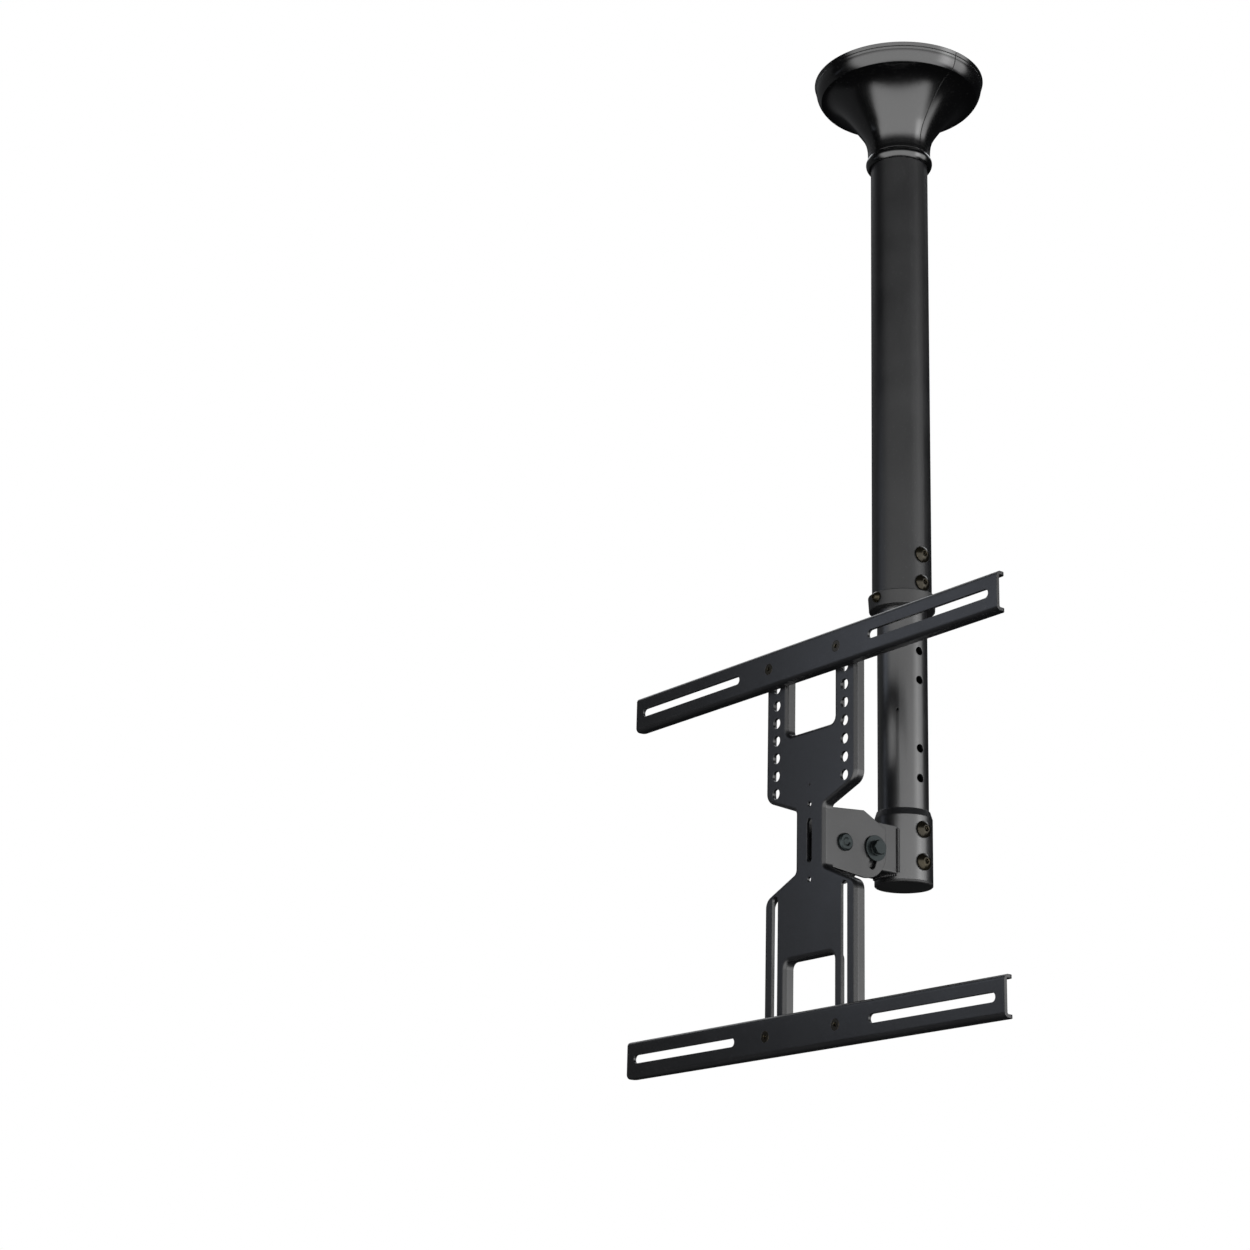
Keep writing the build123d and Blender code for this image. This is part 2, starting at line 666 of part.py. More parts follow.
# Head plate: a pressed tray in the outline of a bone, with a rim all round it
lock_path = CenterArc((pivot_y, pivot_z), lock_reach, -tilt_forward - 1, tilt_forward + tilt_back + 2)
front_plane = Plane.XZ.offset(-head_front_y)
with BuildSketch() as head_outline:
    with BuildLine():
        Polyline((0, cutout_top_floor), (cutout_half_w, cutout_top_floor), (cutout_half_w, head_top),
                 (head_half_w, head_top), (head_half_w, waist_top + shoulder_rise), (waist_half_w, waist_top),
                 (waist_half_w, waist_bottom), (head_half_w, waist_bottom - shoulder_fall),
                 (head_half_w, head_bottom), (cutout_half_w, head_bottom),
                 (cutout_half_w, cutout_bottom_floor), (0, cutout_bottom_floor))
        mirror(about=Plane.YZ)
    make_face()
    leg_ends = head_outline.vertices().filter_by(lambda v: v.Y > head_top - 1 or v.Y < head_bottom + 1)
    fillet(leg_ends, radius=leg_end_r)
    edge_corners = head_outline.vertices().filter_by(lambda v: abs(v.X) > head_half_w - 1)
    shoulders = edge_corners.filter_by(
        lambda v: waist_bottom - shoulder_fall - 1 < v.Y < waist_top + shoulder_rise + 1)
    fillet(shoulders, radius=shoulder_r)
    waist_corners = head_outline.vertices().filter_by(
        lambda v: abs(abs(v.X) - waist_half_w) < 1 and waist_bottom - 1 < v.Y < waist_top + 1)
    fillet(waist_corners, radius=waist_r)
    inner_corners = head_outline.vertices().filter_by(lambda v: abs(abs(v.X) - cutout_half_w) < 1)
    floor_corners = inner_corners.filter_by(
        lambda v: cutout_bottom_floor - 1 < v.Y < cutout_top_floor + 1)
    fillet(floor_corners, radius=cutout_r)

ear_profile = [(head_front_y + bend_r, ear_bottom_front), (head_front_y + bend_r, ear_top_front),
               (ear_peak_y, ear_top_peak), (ear_rear_y, ear_top_rear), (ear_rear_y, ear_bottom_low),
               (ear_peak_y, ear_bottom_low), (head_front_y + head_rim, ear_bottom_front)]
with BuildPart() as head_plate:
    with BuildSketch(front_plane):
        with Locations((0, pivot_z)):
            add(head_outline.sketch)
    extrude(amount=-head_rim)
    fillet(head_plate.faces().sort_by(Axis.Y)[0].edges(), radius=bend_r)
    with BuildSketch(front_plane.offset(-head_sheet)):
        with Locations((0, pivot_z)):
            add(head_outline.sketch)
        offset(amount=-head_sheet)
    extrude(amount=-head_rim, mode=Mode.SUBTRACT)
    for ear_x in (ear_inner_x, -ear_outer_x):
        with BuildSketch(Plane.YZ.offset(ear_x)) as ear:
            with BuildLine():
                Polyline(*[(y, pivot_z + h) for y, h in ear_profile], close=True)
            make_face()
            rear_corners = ear.vertices().group_by(Axis.X)[-1].sort_by(Axis.Y)
            fillet(rear_corners[0], radius=ear_bottom_corner)
            fillet(rear_corners[1], radius=ear_top_corner)
        extrude(amount=head_sheet)
    with BuildSketch(Plane.YZ):
        with Locations((pivot_y, pivot_z)):
            Circle(pivot_d / 2 + running_gap)
        SlotArc(lock_path, slot_w)
    extrude(amount=waist_half_w + 1, both=True, mode=Mode.SUBTRACT)
    with BuildSketch(front_plane):
        for side in (-1, 1):
            with Locations(*[(side * column_x, pivot_z + column_first + i * column_pitch)
                             for i in range(column_count)]):
                Circle(column_hole_d / 2)
            with Locations((side * column_x, pivot_z + (slot_first + slot_last) / 2)):
                SlotCenterToCenter(slot_first - slot_last, slot_w, rotation=90)
        with Locations((0, pivot_z + waist_slot_h)):
            SlotOverall(waist_slot_len, waist_slot_w, rotation=90)
        with Locations((0, pivot_z - waist_hole_h), (0, pivot_z + waist_hole_h)):
            Circle(waist_hole_d / 2)
        with Locations((0, pivot_z + dot_hole_h)):
            Circle(dot_hole_d / 2)
    extrude(amount=-head_sheet - 1, mode=Mode.SUBTRACT)
head_plate.part.label = "head_plate"
export_step(head_plate.part, "parts/head_plate.step")

# Rails, each with two long slots for the television and two fixing screws
rail_front = Plane.XZ.offset(-rail_front_y)
slot_mid = (rail_slot_near + rail_slot_far) / 2
slot_reach = rail_slot_far - rail_slot_near
rail_screw_len = rail_depth + head_sheet + washer_h + m6_nut_h + thread_left
for rail_name, rail_z in (("upper_rail", upper_rail_z), ("lower_rail", lower_rail_z)):
    with BuildPart() as rail:
        with BuildSketch(Plane.YZ) as section:
            with Locations((rail_front_y, rail_z)):
                Rectangle(rail_depth, rail_h, align=(Align.MIN, Align.CENTER))
            fillet(section.vertices().group_by(Axis.X)[0], radius=rail_bend_r)
            with Locations((rail_front_y + rail_sheet, rail_z)):
                Rectangle(rail_depth, rail_h - 2 * rail_sheet, mode=Mode.SUBTRACT,
                          align=(Align.MIN, Align.CENTER))
            fold_corners = section.vertices().filter_by(
                lambda v: abs(v.X - rail_front_y - rail_sheet) < 0.01 and abs(v.Y - rail_z) < rail_h / 2)
            fillet(fold_corners, radius=rail_bend_r - rail_sheet)
        extrude(amount=rail_len / 2, both=True)
        flange_corners = rail.edges().filter_by(Axis.Z).filter_by(
            lambda e: abs(e.center().Y - head_front_y) < 0.01 and e.length < rail_sheet + 0.01)
        fillet(flange_corners, radius=rail_corner_r)
        with BuildSketch(rail_front):
            with Locations((-slot_mid, rail_z), (slot_mid, rail_z)):
                SlotCenterToCenter(slot_reach, rail_slot_w)
        extrude(amount=-rail_sheet - 1, mode=Mode.SUBTRACT)
        with Locations(*[rail_front.location * Location((side * column_x, rail_z, 0)) for side in (-1, 1)]):
            CounterSinkHole(radius=m6_d / 2 + hole_play, counter_sink_radius=countersink_d / 2,
                            depth=rail_sheet + 1, counter_sink_angle=90)
    rail.part.label = rail_name
    export_step(rail.part, f"parts/{rail_name}.step")

    with BuildPart() as rail_screws:
        with Locations(*[turned(side * column_x, rail_front_y + hair_gap, rail_z, -90) for side in (-1, 1)]):
            add(flat_screw(m6_d, rail_screw_len, countersink_d - 2 * running_gap, m6_socket_af))
    rail_screws.part.label = f"{rail_name}_screws"
    export_step(rail_screws.part, f"parts/{rail_name}_screws.step")

    with BuildPart() as rail_washers:
        with Locations(*[turned(side * column_x, head_back_y + hair_gap, rail_z, 90) for side in (-1, 1)]):
            add(flat_washer(washer_d, m6_d + 2 * hole_play, washer_h))
    rail_washers.part.label = f"{rail_name}_washers"
    export_step(rail_washers.part, f"parts/{rail_name}_washers.step")

    nut_y = head_back_y + washer_h + 2 * hair_gap
    with BuildPart() as rail_nuts:
        with Locations(*[turned(side * column_x, nut_y, rail_z, 90) for side in (-1, 1)]):
            add(hex_nut(m6_nut_af, m6_nut_h, m6_d))
    rail_nuts.part.label = f"{rail_name}_nuts"
    export_step(rail_nuts.part, f"parts/{rail_name}_nuts.step")
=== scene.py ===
"""Looks of a telescopic ceiling mount for a flat television: finishes, welds, threads and studio."""
from math import atan2, cos, pi, radians, sin, sqrt

import bpy
from mathutils import Matrix, Vector


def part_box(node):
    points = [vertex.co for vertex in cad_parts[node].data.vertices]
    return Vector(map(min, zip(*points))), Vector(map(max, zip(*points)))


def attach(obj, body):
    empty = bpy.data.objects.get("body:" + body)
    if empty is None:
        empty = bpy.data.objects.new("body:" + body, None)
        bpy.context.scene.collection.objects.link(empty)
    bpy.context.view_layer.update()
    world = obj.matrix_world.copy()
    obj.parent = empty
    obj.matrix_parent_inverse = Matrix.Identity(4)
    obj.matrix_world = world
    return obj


bl_info = {
    "name": "Television ceiling mount",
    "version": (1, 0, 0),
    "blender": (4, 5, 0),
    "location": "View3D > Sidebar > Ceiling mount",
    "description": "Adds finishes, welds and threads to the ceiling mount, and a plain studio around it",
    "category": "Object",
}

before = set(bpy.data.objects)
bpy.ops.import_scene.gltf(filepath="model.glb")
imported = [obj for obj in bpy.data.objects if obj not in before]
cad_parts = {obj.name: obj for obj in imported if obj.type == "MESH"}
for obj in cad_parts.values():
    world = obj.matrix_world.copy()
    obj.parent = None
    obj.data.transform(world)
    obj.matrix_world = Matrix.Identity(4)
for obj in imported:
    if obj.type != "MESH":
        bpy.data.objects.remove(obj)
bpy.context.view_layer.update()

MM = 0.001

# Nodes of the frame by the finish that they get
STEEL_NODES = (
    "ceiling_plate", "swivel_spigot", "outer_tube", "tilt_arm", "head_plate", "upper_rail", "lower_rail",
)
SMOOTH_NODES = ("inner_tube", "hub_sleeve")
COVER_NODES = ("canopy_front", "canopy_rear", "canopy_ring")
PLASTIC_NODES = ("end_collar", "guide_ring", "end_cap")
BOLT_NODES = (
    "swivel_screws", "steady_screws", "height_lock_screws", "hub_bolts", "hub_nuts",
    "upper_rail_screws", "upper_rail_washers", "upper_rail_nuts",
    "lower_rail_screws", "lower_rail_washers", "lower_rail_nuts",
)
OXIDE_NODES = (
    "pivot_pin", "pivot_nut", "tilt_lock_bolt", "tilt_lock_nut", "tilt_lock_washers",
    "tilt_lock_spring_washers", "friction_washers",
)

# Bare ends of the bolts across the pole, in millimetres: name, where the nut ends, bare length, radius
# and pitch
SIDE_THREADS = (
    ("thread_hub_upper", -35.05, 0, -827, 3.9, 4, 1.25),
    ("thread_hub_lower", -35.05, 0, -859, 3.9, 4, 1.25),
    ("thread_pivot", -28.05, -94, -853.5, 2.45, 5, 1.25),
    ("thread_lock", -31.25, -56, -853.5, 1.5, 4, 1.1),
)
# Bare ends of the rail screws, in millimetres: name, where the nut ends, bare length, and the body that
# carries the screw
BACK_THREADS = (
    ("thread_upper_rail_left", -50, -110.3, -673.75, 1.45, "head"),
    ("thread_upper_rail_right", 50, -110.3, -673.75, 1.45, "head"),
    ("thread_lower_rail_left", -50, -110.3, -1033.75, 1.45, "lower_rail"),
    ("thread_lower_rail_right", 50, -110.3, -1033.75, 1.45, "lower_rail"),
)
BACK_THREAD_RADIUS = 3
BACK_THREAD_PITCH = 1

# A thread's ridge. Its size, its start and the length that it leaves bare are shares of the pitch, and
# its reach is the share of the bolt's radius on which its middle runs.
RIDGE_CORNERS = 4
RIDGE_SIZE = 0.3
RIDGE_START = 0.34
RIDGE_BARE = 0.4
RIDGE_REACH = 0.98
RIDGE_STEPS_PER_TURN = 20
RIDGE_ENDS_PER_TURN = 4

# A weld bead. Its first ring's radius is a share of its width. Each ring grows over the one before by the
# next of these factors, and after all three it has its first size again.
BEAD_CORNERS = 10
BEAD_RADIUS = 0.32
BEAD_GROWTH = (1.25, 1.2, 1 / 1.5)
RINGS_PER_RIPPLE = len(BEAD_GROWTH)
BEAD_SMOOTH_ANGLE = radians(50)

# Where the beads run, measured from the line on which the arm meets the sleeve
SEAM_BARE_END = 2 * MM
SIDE_SEAM_OUT = 0.5 * MM
SIDE_SEAM_FORWARD = 0.3 * MM
LOW_SEAM_OUT = 0.4 * MM
LOW_SEAM_DROP = 0.2 * MM
LOW_BEAD_SHARE = 0.8

# How a finish varies: the middle of a noise, factors on the base colour where the mottling is light and
# dark, the factor and the lift of a speck, how much smears change the roughness as a share of its spread,
# and how much a scuff adds to it
NOISE_MEAN = 0.5
MOTTLE_LIGHT = 1.5
MOTTLE_DARK = 0.7
SPECK_GAIN = 1.8
SPECK_LIFT = 0.004
SMEAR_SHARE = 1.4
SCUFF_DULLING = 0.08
CLEAR_COAT_ROUGHNESS = 0.12

# The stage, in metres; only the width of the camera's sensor is in millimetres
SENSOR_WIDTH = 36
CLIP_START = 0.05
CLIP_END = 50
FLOOR_SIZE = 24
FILL_COLOR = (0.9, 0.95, 1, 1)
WHITE = (1, 1, 1, 1)

# Soft boxes of the studio: colour, brightness, heading, half width, lowest and highest angle, and how
# softly the sides, the lower and the upper edge fade. Angles are in degrees, and headings turn from
# plus X towards plus Y.
SOFT_BOXES = (
    ((1, 1, 1), 3.4, -38, 61, -46, 7, (16, 12, 18)),
    ((1, 1, 1), 3.3, 36, 13, -20, 13, (13, 10, 12)),
    ((0.95, 0.97, 1), 1.6, 138, 40, 36, 70, (18, 8, 12)),
    ((0.95, 0.97, 1), 0.12, -170, 22, -35, 30, (12, 10, 10)),
)


class CM_CoatSettings(bpy.types.PropertyGroup):
    """Colours and surface of the powder coat, the plastics and the fasteners"""

    coat_color: bpy.props.FloatVectorProperty(
        name="Powder coat", description="Colour of the coated steel",
        subtype="COLOR", size=3, min=0, max=1, default=(0.002, 0.0021, 0.0025))
    coat_roughness: bpy.props.FloatProperty(
        name="Coat roughness", description="Roughness of the coated steel",
        subtype="FACTOR", min=0, max=1, default=0.36)
    grain_size: bpy.props.FloatProperty(
        name="Grain size", description="Width of one bump of the powder coat",
        subtype="DISTANCE", unit="LENGTH", default=0.0011)
    wear: bpy.props.FloatProperty(
        name="Edge wear", description="How much the coat is rubbed along the edges",
        subtype="FACTOR", min=0, max=1, default=0.35)
    cover_color: bpy.props.FloatVectorProperty(
        name="Cover plastic", description="Colour of the glossy cover",
        subtype="COLOR", size=3, min=0, max=1, default=(0.0008, 0.0008, 0.0009))
    plastic_color: bpy.props.FloatVectorProperty(
        name="Dull plastic", description="Colour of the collar, the guide ring and the end cap",
        subtype="COLOR", size=3, min=0, max=1, default=(0.0016, 0.0016, 0.0018))
    bolt_color: bpy.props.FloatVectorProperty(
        name="Bolt plating", description="Colour of the dark plating on the fasteners",
        subtype="COLOR", size=3, min=0, max=1, default=(0.016, 0.014, 0.01))
    oxide_color: bpy.props.FloatVectorProperty(
        name="Black oxide", description="Colour of the tilt joint's fasteners",
        subtype="COLOR", size=3, min=0, max=1, default=(0.011, 0.0145, 0.015))


class CM_PartSettings(bpy.types.PropertyGroup):
    """Sizes of the small pieces that are added to the frame"""

    bead_width: bpy.props.FloatProperty(
        name="Weld width", description="Width of the weld between the arm and the sleeve",
        subtype="DISTANCE", unit="LENGTH", default=0.005)
    bead_step: bpy.props.FloatProperty(
        name="Weld ripple", description="Distance from one ripple of the weld to the next",
        subtype="DISTANCE", unit="LENGTH", default=0.0018)


class CM_StageSettings(bpy.types.PropertyGroup):
    """Camera, floor and lights"""

    camera_place: bpy.props.FloatVectorProperty(
        name="Camera place", description="Where the camera stands",
        subtype="TRANSLATION", unit="LENGTH", size=3, default=(1.778806, -1.625608, -1.409325))
    heading: bpy.props.FloatProperty(
        name="Heading", description="Camera's turn from looking along plus Y, towards plus X",
        subtype="ANGLE", default=radians(-54.188))
    pitch: bpy.props.FloatProperty(
        name="Pitch", description="How far the camera looks up",
        subtype="ANGLE", default=radians(18.241))
    roll: bpy.props.FloatProperty(
        name="Roll", description="How far the camera leans to its side",
        subtype="ANGLE", default=radians(1.693))
    lens: bpy.props.FloatProperty(
        name="Lens", description="Focal length in millimetres, for a sensor 36 mm wide",
        min=10, max=500, default=72.541)
    floor_drop: bpy.props.FloatProperty(
        name="Floor", description="Depth of the floor below the ceiling",
        subtype="DISTANCE", unit="LENGTH", default=2.45)
    backdrop: bpy.props.FloatProperty(
        name="Backdrop", description="Brightness of the floor and the surroundings to the camera",
        min=0, max=5, default=1.0)
    box_power: bpy.props.FloatProperty(
        name="Soft boxes", description="Brightness of the soft boxes around the mount",
        min=0, max=20, default=1.0)
    fill: bpy.props.FloatProperty(
        name="Fill", description="Brightness of the dark part of the studio",
        min=0, max=5, default=0.012)


# Shader node helpers

def node_tree(material):
    """The material's own node tree, emptied."""
    material.use_nodes = True
    tree = material.node_tree
    tree.nodes.clear()
    return tree


def add_node(tree, kind, place=(0, 0), **values):
    """Adds a node; values name either its settings or its input sockets."""
    node = tree.nodes.new(kind)
    node.location = place
    for key, value in values.items():
        if hasattr(node, key):
            setattr(node, key, value)
        else:
            node.inputs[key.replace("_", " ")].default_value = value
    return node


def math_node(tree, operation, first, second, place=(0, 0), clamp=False):
    """The result of a calculation with two values, each a number or a socket."""
    node = tree.nodes.new("ShaderNodeMath")
    node.operation = operation
    node.use_clamp = clamp
    node.location = place
    for socket, value in zip(node.inputs, (first, second)):
        if isinstance(value, (int, float)):
            socket.default_value = value
        else:
            tree.links.new(value, socket)
    return node.outputs[0]


def ramp_node(tree, value, stops, place=(0, 0)):
    """A colour ramp in grey steps; stops are pairs of position and brightness."""
    ramp = tree.nodes.new("ShaderNodeValToRGB")
    ramp.location = place
    for element, (position, grey) in zip(ramp.color_ramp.elements, stops):
        element.position = position
        element.color = (grey, grey, grey, 1)
    tree.links.new(value, ramp.inputs[0])
    return ramp.outputs[0]


def mix_color(tree, factor, first, second, place=(0, 0)):
    """A mix of two colours, each a plain colour or a socket."""
    mix = tree.nodes.new("ShaderNodeMix")
    mix.data_type = "RGBA"
    mix.location = place
    for socket, value in ((mix.inputs[0], factor), (mix.inputs[6], first), (mix.inputs[7], second)):
        if isinstance(value, (int, float, tuple)):
            socket.default_value = value
        else:
            tree.links.new(value, socket)
    return mix.outputs[2]


def new_group(name, inputs, outputs):
    """An empty node group with named sockets; inputs are name, kind, default."""
    group = bpy.data.node_groups.new(name, "ShaderNodeTree")
    for title, kind, default in inputs:
        socket = group.interface.new_socket(name=title, in_out="INPUT", socket_type=kind)
        socket.default_value = default
    for title, kind in outputs:
        group.interface.new_socket(name=title, in_out="OUTPUT", socket_type=kind)
    return group, group.nodes.new("NodeGroupInput"), group.nodes.new("NodeGroupOutput")


def edge_wear_group():
    """Edges where the finish is rubbed: a bevelled normal differs from the real one."""
    bend_gain = 5.0
    group, source, result = new_group(
        "Edge wear", [("Radius", "NodeSocketFloat", 0.0006), ("Amount", "NodeSocketFloat", 0.35)],
        [("Mask", "NodeSocketFloat"), ("Normal", "NodeSocketVector")])
    bevel = add_node(group, "ShaderNodeBevel", (-600, 100), samples=6)
    group.links.new(source.outputs["Radius"], bevel.inputs["Radius"])
    shape = add_node(group, "ShaderNodeNewGeometry", (-600, -100))
    dot = add_node(group, "ShaderNodeVectorMath", (-400, 0), operation="DOT_PRODUCT")
    group.links.new(bevel.outputs[0], dot.inputs[0])
    group.links.new(shape.outputs["Normal"], dot.inputs[1])
    bend = math_node(group, "SUBTRACT", 1.0, dot.outputs["Value"], (-220, 0), clamp=True)
    coordinates = add_node(group, "ShaderNodeTexCoord", (-800, -300))
    patches = add_node(group, "ShaderNodeTexNoise", (-600, -300), Scale=160.0, Detail=6.0, Roughness=0.7)
    group.links.new(coordinates.outputs["Object"], patches.inputs["Vector"])
    broken = ramp_node(group, patches.outputs["Fac"], [(0.42, 0.0), (0.62, 1.0)], (-400, -300))
    rubbed = math_node(group, "MULTIPLY", bend, bend_gain, (-60, 0), clamp=True)
    rubbed = math_node(group, "MULTIPLY", rubbed, broken, (100, 0))
    rubbed = math_node(group, "MULTIPLY", rubbed, source.outputs["Amount"], (260, 0), clamp=True)
    group.links.new(rubbed, result.inputs["Mask"])
    group.links.new(bevel.outputs[0], result.inputs["Normal"])
    return group


def coat_grain_group():
    """Orange peel of a sprayed or moulded surface, with a finer grain, slow mottling and specks."""
    fine_scale = 1.8
    fine_height = 0.5
    speck_scale = 0.55
    group, source, result = new_group(
        "Coat grain", [("Scale", "NodeSocketFloat", 900.0), ("Slow scale", "NodeSocketFloat", 9.0)],
        [("Height", "NodeSocketFloat"), ("Mottle", "NodeSocketFloat"), ("Speck", "NodeSocketFloat")])
    coordinates = add_node(group, "ShaderNodeTexCoord", (-800, 0))
    peel = add_node(group, "ShaderNodeTexNoise", (-560, 200), Detail=2.0, Roughness=0.5)
    fine = add_node(group, "ShaderNodeTexVoronoi", (-560, 0), feature="SMOOTH_F1", Smoothness=0.8)
    slow = add_node(group, "ShaderNodeTexNoise", (-560, -220), Detail=5.0, Roughness=0.6)
    specks = add_node(group, "ShaderNodeTexNoise", (-560, -440), Detail=1.0, Roughness=0.4)
    for texture in (peel, fine, slow, specks):
        group.links.new(coordinates.outputs["Object"], texture.inputs["Vector"])
    scale = source.outputs["Scale"]
    group.links.new(scale, peel.inputs["Scale"])
    closer = math_node(group, "MULTIPLY", scale, fine_scale, (-760, 200))
    group.links.new(closer, fine.inputs["Scale"])
    group.links.new(source.outputs["Slow scale"], slow.inputs["Scale"])
    wider = math_node(group, "MULTIPLY", scale, speck_scale, (-760, -440))
    group.links.new(wider, specks.inputs["Scale"])
    lower = math_node(group, "MULTIPLY", fine.outputs["Distance"], fine_height)
    both = math_node(group, "ADD", peel.outputs["Fac"], lower)
    group.links.new(both, result.inputs["Height"])
    group.links.new(slow.outputs["Fac"], result.inputs["Mottle"])
    dots = ramp_node(group, specks.outputs["Fac"], [(0.66, 0.0), (0.74, 1.0)], (-300, -440))
    group.links.new(dots, result.inputs["Speck"])
    return group


def handling_group():
    """Fine hairline scuffs and smudges from handling."""
    layers = ((0.5, 60.0), (-0.9, 45.0))
    turn_shares = (1, 0.7, 1.3)
    stretch_shares = (12, 0.4, 4)
    group, source, result = new_group(
        "Handling marks", [("Scale", "NodeSocketFloat", 14.0)],
        [("Scuff", "NodeSocketFloat"), ("Smudge", "NodeSocketFloat")])
    coordinates = add_node(group, "ShaderNodeTexCoord", (-1000, 0))
    smudge = add_node(group, "ShaderNodeTexNoise", (-560, 200), Detail=4.0, Roughness=0.55, Distortion=0.6)
    group.links.new(coordinates.outputs["Object"], smudge.inputs["Vector"])
    group.links.new(source.outputs["Scale"], smudge.inputs["Scale"])
    lines = []
    for i, (turn, stretch) in enumerate(layers):
        level = -200 - 300 * i
        mapping = add_node(group, "ShaderNodeMapping", (-780, level))
        mapping.inputs["Rotation"].default_value = tuple(turn * share for share in turn_shares)
        mapping.inputs["Scale"].default_value = tuple(stretch * share for share in stretch_shares)
        group.links.new(coordinates.outputs["Object"], mapping.inputs["Vector"])
        scratch = add_node(group, "ShaderNodeTexNoise", (-560, level), Scale=1.0, Detail=1.0)
        group.links.new(mapping.outputs[0], scratch.inputs["Vector"])
        lines.append(ramp_node(group, scratch.outputs["Fac"], [(0.7, 0.0), (0.74, 1.0)], (-340, level)))
    scuff = math_node(group, "MAXIMUM", lines[0], lines[1], (-100, -300))
    area = ramp_node(group, smudge.outputs["Fac"], [(0.5, 0.0), (0.7, 1.0)], (-340, 200))
    scuff = math_node(group, "MULTIPLY", scuff, area, (60, -300))
    group.links.new(scuff, result.inputs["Scuff"])
    group.links.new(smudge.outputs["Fac"], result.inputs["Smudge"])
    return group


def place_group(tree, group, place, **values):
    """Puts a group into a tree; values name its input sockets."""
    node = tree.nodes.new("ShaderNodeGroup")
    node.node_tree = group
    node.location = place
    for key, value in values.items():
        node.inputs[key.replace("_", " ")].default_value = value
    return node


def black_finish(name, groups, color, worn_color, roughness, spread, grain_scale, grain_height, wear,
                 edge_radius, metallic=0.0, coat=0.0, tint=None, specular=0.5):
    """One dark finish: base colour with mottling and rubbed edges, uneven gloss and a fine grain."""
    material = bpy.data.materials.new(name)
    tree = node_tree(material)
    output = add_node(tree, "ShaderNodeOutputMaterial", (900, 0))
    shader = add_node(tree, "ShaderNodeBsdfPrincipled", (600, 0))
    tree.links.new(shader.outputs[0], output.inputs["Surface"])
    edges = place_group(tree, groups["edges"], (-700, 300), Radius=edge_radius, Amount=wear)
    grain = place_group(tree, groups["grain"], (-700, 0), Scale=grain_scale)
    marks = place_group(tree, groups["marks"], (-700, -300))
    light = tuple(c * MOTTLE_LIGHT for c in color) + (1,)
    dark = tuple(c * MOTTLE_DARK for c in color) + (1,)
    speck = tuple(c * SPECK_GAIN + SPECK_LIFT for c in color) + (1,)
    base = mix_color(tree, grain.outputs["Mottle"], dark, light, (-400, 300))
    if tint:
        warm = ramp_node(tree, marks.outputs["Smudge"], [(0.45, 0.0), (0.6, 1.0)], (-500, 500))
        base = mix_color(tree, warm, base, tint + (1,), (-250, 500))
    base = mix_color(tree, grain.outputs["Speck"], base, speck, (-200, 300))
    # Rubbed edges take the worn colour. On the bolt plating, that bright brassy colour is partly real wear
    # and partly a painted brass glint.
    base = mix_color(tree, edges.outputs["Mask"], base, worn_color + (1,), (0, 300))
    tree.links.new(base, shader.inputs["Base Color"])
    gloss = math_node(tree, "SUBTRACT", grain.outputs["Mottle"], NOISE_MEAN, (-400, 0))
    gloss = math_node(tree, "MULTIPLY", gloss, spread, (-250, 0))
    gloss = math_node(tree, "ADD", gloss, roughness, (-100, 0))
    smears = math_node(tree, "SUBTRACT", marks.outputs["Smudge"], NOISE_MEAN, (-400, -200))
    smears = math_node(tree, "MULTIPLY", smears, spread * SMEAR_SHARE, (-250, -200))
    gloss = math_node(tree, "ADD", gloss, smears, (60, 0))
    scuffs = math_node(tree, "MULTIPLY", marks.outputs["Scuff"], SCUFF_DULLING)
    gloss = math_node(tree, "ADD", gloss, scuffs, (220, 0), clamp=True)
    tree.links.new(gloss, shader.inputs["Roughness"])
    bump = add_node(tree, "ShaderNodeBump", (300, -300), Strength=1.0, Distance=grain_height)
    tree.links.new(grain.outputs["Height"], bump.inputs["Height"])
    tree.links.new(edges.outputs["Normal"], bump.inputs["Normal"])
    tree.links.new(bump.outputs[0], shader.inputs["Normal"])
    shader.inputs["Metallic"].default_value = metallic
    shader.inputs["Coat Weight"].default_value = coat
    shader.inputs["Coat Roughness"].default_value = CLEAR_COAT_ROUGHNESS
    shader.inputs["Specular IOR Level"].default_value = specular
    return material


def dress(names, material):
    """Gives the named nodes of the frame a finish."""
    for name in names:
        for material_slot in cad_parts[name].material_slots:
            material_slot.material = material


